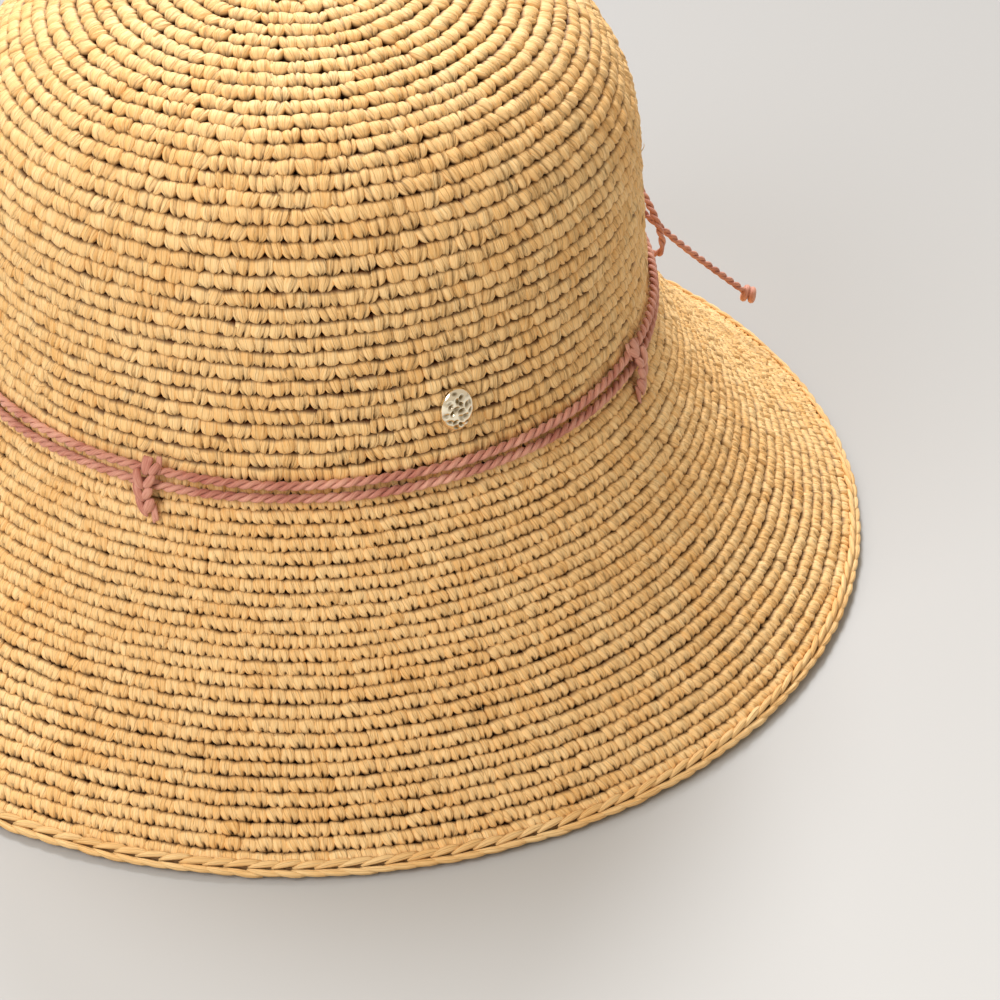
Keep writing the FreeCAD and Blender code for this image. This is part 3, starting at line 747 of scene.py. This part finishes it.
# Degrees from the front, the way it is worked, and how many mm lower it sits.
keeper_spots = {"front": (0.0, 1.0, 0.0), "left": (90.0, -1.0, 0.5), "right": (-90.0, 1.0, -0.4)}
for name, (angle, hand, settle_down) in keeper_spots.items():
    angle = math.radians(angle)
    forward = np.array((math.sin(angle), -math.cos(angle), 0))
    level = np.array((math.cos(angle), math.sin(angle), 0))

    def spot(p):
        """A point of this keeper, from millimetres along the turns, up and out."""
        x, z, n = p
        return (level * x * hand / 1000 + forward * (crease_radius + n / 1000)
                + np.array((0, 0, crease_height + (z - settle_down) / 1000)))

    strands = []
    for number, (a, b, c, wide, *flat) in enumerate(at_keeper["links"] + at_keeper["ends"]):
        a, b, c = spot(a), spot(b), spot(c)
        t = np.linspace(0, 1, 9)[:, None]
        line = a * (1 - t) * (1 - 2 * t) + b * 4 * t * (1 - t) + c * t * (2 * t - 1)
        swell = (0.9, 1, 1, 1, 0.95, 0.9, 0.8, 0.7, 0.5) if flat else (
            0.5, 0.82, 0.96, 1, 1, 0.98, 0.9, 0.72, 0.35)
        across = np.cross(c - a, forward)
        strands.append(tube(line, np.array(swell) * wide / 1000, 10, flat[0] if flat else 0.72,
                            [across] * 9, False, number * 0.02))
    keeper = piece(f"cord_keeper_{name}_links", *join(strands)[:2], rose_raffia, join(strands)[2])
    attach(keeper, "root")
    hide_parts(f"cord_keeper_{name}")

# ==== Bow =======================================================================================
# At the back the cord's two ends, a little thinner, are tied in a bow: a knot over both turns, two
# loops that droop beside it, and two tails that lie out over the brim, each ending in a small knot.


def routed(points, name):
    """The points of the smooth line that a free cord follows."""
    curve = bpy.data.curves.new(name, "CURVE")
    curve.dimensions = "3D"
    curve.resolution_u = 16
    spline = curve.splines.new("NURBS")
    spline.points.add(len(points) - 1)
    for point, place in zip(spline.points, points):
        point.co = (*place, 1)
    spline.order_u = 3
    spline.use_endpoint_u = True
    holder = bpy.data.objects.new(name, curve)
    mesh = bpy.data.meshes.new_from_object(holder)
    line = [v.co.copy() for v in mesh.vertices]
    bpy.data.meshes.remove(mesh)
    bpy.data.curves.remove(curve)
    return line


knot_half_width, knot_middle, strand_place = 0.0039, 0.081, 0.10225
wraps = []
for x, tip, deep in ((-0.0027, 0.12, 0.0029), (0.0, 0.05, 0.0032), (0.0027, -0.1, 0.0029)):
    turn = np.linspace(0, math.tau, 40, endpoint=False)
    ring = np.stack([x + 0.0046 * np.sin(turn) * tip, 0.1021 + deep * np.cos(turn),
                     knot_middle + 0.0044 * np.sin(turn)], 1)
    wraps.append(twisted(ring, 0.0026, 0.0058, True))
gripped = leaf_line((-0.0042, 0.1022, knot_middle), (0.0042, 0.1022, knot_middle), (0, 0, 0), 5)
wraps.append(tube(gripped, [0.0027, 0.003, 0.003, 0.003, 0.0027], 12, 1.0))
knot = piece("bow_knot_wraps", *join(wraps)[:2], rose_raffia, join(wraps)[2])
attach(knot, "root")
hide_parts("bow_knot")


def around_crown(route):
    """Route points given by degrees from the back, mm outside the crease and mm above it."""
    return [((crease_radius + out / 1000) * math.sin(math.radians(angle)),
             (crease_radius + out / 1000) * math.cos(math.radians(angle)),
             crease_height + height / 1000) for angle, out, height in route]


def knot_exit(side, row):
    """Where a strand leaves the knot."""
    return (side * knot_half_width, strand_place, knot_middle + row * 0.0028)


strand_thickness = 0.0023
loop_routes = {
    "bow_loop_left": (1, ((10, 9, 8.8), (22, 13.8, 6.5), (31.5, 18.8, -2.5), (38, 19.4, -11.3),
                          (41, 19.7, -21), (39, 17, -24.6), (31.5, 14.5, -19.3), (20, 9, -9),
                          (9, 5, 0.5))),
    "bow_loop_right": (-1, ((-10, 9.5, 8), (-21, 14.5, 8), (-31, 19.5, 0), (-37, 21, -10),
                            (-39.5, 21.5, -19), (-37.5, 18, -22.5), (-30, 14, -18), (-19, 9, -9),
                            (-9, 5, 0.5)))}
for name, (side, route) in loop_routes.items():
    line = routed([knot_exit(side, 1), *around_crown(route), knot_exit(side, 0)], name)
    plies = twisted(line, strand_thickness, 0.0054)
    loop = piece(name + "_cord", *plies[:2], rose_raffia, plies[2])
    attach(loop, "root")
    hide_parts(name)

wrap_pitch, wrap_radius = 0.0021, 0.00112
tail_routes = {
    "left": (1, ((12, 13, -3.5), (25, 16.5, -9.5), (33.4, 24.5, -19.8), (34.5, 37.8, -35.7),
                 (36, 57, -55))),
    "right": (-1, ((-12, 13, -4), (-24, 17, -12.5), (-31, 28, -30), (-32, 40, -46),
                   (-31, 51, -58)))}
for name, (side, route) in tail_routes.items():
    line = routed([knot_exit(side, -1), *around_crown(route)], name)
    plies = twisted(line, strand_thickness, 0.0070)
    tail = piece(f"bow_tail_{name}_cord", *plies[:2], rose_raffia, plies[2])
    # Overhand knot: the strand goes twice around itself, pulled tight, and a short end stands out.
    run = (line[-1] - line[-4]).normalized()
    level = run.cross(Vector((0, 0, 1))).normalized()
    through = Vector((run.x, run.y, 0.25 * run.z)).normalized() + level * 0.6 * side
    through.normalize()
    across = through.cross(Vector((0, 0, 1))).normalized()
    upright = across.cross(through)
    wraps = []
    for k in range(2):
        turn = np.linspace(0, math.tau, 18, endpoint=False)
        middle = line[-1] + run * 0.0012 + through * wrap_pitch * (k - 0.5)
        ring = [middle + (across * math.cos(t) + upright * math.sin(t)) * (0.00165 - 0.0001 * k)
                + through * 0.0002 * math.sin(t + 2 * k) for t in turn]
        wraps.append(tube(ring, wrap_radius, 8, 1.0, [through] * 18, True, k * 0.01))
    end = [line[-1] - run * 0.001, line[-1] + run * 0.002,
           line[-1] + run * 0.0038 + upright * 0.0002]
    wraps.append(tube(end, [0.0012, 0.0012, 0.0007], 8, 0.9))
    knot = piece(f"tail_end_knot_{name}_wraps", *join(wraps)[:2], rose_raffia, join(wraps)[2])
    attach(knot, "root")
    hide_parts(f"tail_end_knot_{name}")
    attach(tail, "root")
    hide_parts(f"bow_tail_{name}")

# ==== Stud ======================================================================================
# A small oval stud of brass with pale champagne plating, 9.6 by 13 mm, beaten with a round hammer
# so that its face is a field of shallow dents. Two prongs go through the crochet to a back plate.

# Champagne-plated brass: bright and pale, a little scratched, and darkened in the hollows.
plating, metal, surface = new_material("champagne_plated_brass", {"Metallic": 1.0})
place = add(metal, "ShaderNodeTexCoord").outputs["Object"]
worn = add(metal, "ShaderNodeTexNoise", {"Vector": place, "Scale": 420.0, "Detail": 4.0}).outputs[0]
shine = add(metal, "ShaderNodeMapRange", {0: worn, 1: 0.35, 2: 0.7, 3: 0.08, 4: 0.22}).outputs[0]
metal.links.new(shine, surface.inputs["Roughness"])
hollow = add(metal, "ShaderNodeAttribute", attribute_name="hollow").outputs["Fac"]
plate = add(metal, "ShaderNodeValToRGB", {0: hollow}, ((0.12, "#FBF0D6"), (0.8, "#6E5A36")))
metal.links.new(plate.outputs[0], surface.inputs["Base Color"])
bump = add(metal, "ShaderNodeBump", {"Height": worn, "Strength": 0.15, "Distance": 0.0001})
metal.links.new(bump.outputs[0], surface.inputs["Normal"])
for name in ("stud_prongs", "stud_back_plate"):
    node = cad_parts[name]
    node.data.materials.clear()
    node.data.materials.append(plating)

stud_angle, stud_rise, stud_dome, stud_lift = math.radians(49), 0.021, 0.0020, 0.0008
stud_half_width, stud_half_length = 0.0048, 0.0065
dents_half_width, dents_half_length = 0.0045, 0.0062
rings, spokes, dent_count = 30, 84, 20
golden_turn = 2.39996
chance = np.random.default_rng(21)
dents = []
for k in range(dent_count):
    far = math.sqrt((k + 0.5) / dent_count) * 0.9
    spin = k * golden_turn + chance.uniform(-0.3, 0.3)
    dents.append((dents_half_width * far * math.cos(spin), dents_half_length * far * math.sin(spin),
                  chance.uniform(0.001, 0.0016), chance.uniform(0.5, 1.0),
                  chance.uniform(0, math.pi)))
points, hollows = [], []
for i in range(rings + 1):
    share = i / rings
    for k in range(spokes):
        spin = math.tau * k / spokes
        x = stud_half_width * share * math.cos(spin)
        y = stud_half_length * share * math.sin(spin)
        deep = 0.0
        for dx, dy, wide, strong, lie in dents:
            u = (x - dx) * math.cos(lie) + (y - dy) * math.sin(lie)
            v = (y - dy) * math.cos(lie) - (x - dx) * math.sin(lie)
            deep = max(deep, strong * max(0, 1 - (u * u + 2.6 * v * v) / wide ** 2))
        deep *= 1 - share ** 12
        height = stud_dome * (1 - share ** 3.4) ** 0.55 * (1 - 0.35 * deep)
        points.append((x, y, stud_lift + height))
        hollows.append(deep)
hollows += [0.5] * spokes
points += [(p[0] * 0.93, p[1] * 0.93, stud_lift - 0.0001) for p in points[-spokes:]]
forward = Vector((math.sin(stud_angle), -math.cos(stud_angle), 0))
level = Vector((math.cos(stud_angle), math.sin(stud_angle), 0))
face_out = forward * math.cos(lean) + Vector((0, 0, math.sin(lean)))
face_up = Vector((0, 0, math.cos(lean))) - forward * math.sin(lean)
middle = forward * (crease_radius - wall_taper * stud_rise / wall_height)
middle += Vector((0, 0, crease_height + stud_rise))
points = [middle + level * x + face_up * y + face_out * z for x, y, z in points]
faces = sleeve(rings + 2, spokes)
faces.pop(-2)  # the first ring is a single point, so it takes no end face
stud = piece("stud_hammered_cap", points, faces, plating)
mark(stud.data, "hollow", hollows)
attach(stud, "root")
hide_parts("stud_cap")

size = {"cad": [list(cad_box[0]), list(cad_box[1])]}
bpy.context.view_layer.update()
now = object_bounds()
size["visual"] = [list(now[0]), list(now[1])]
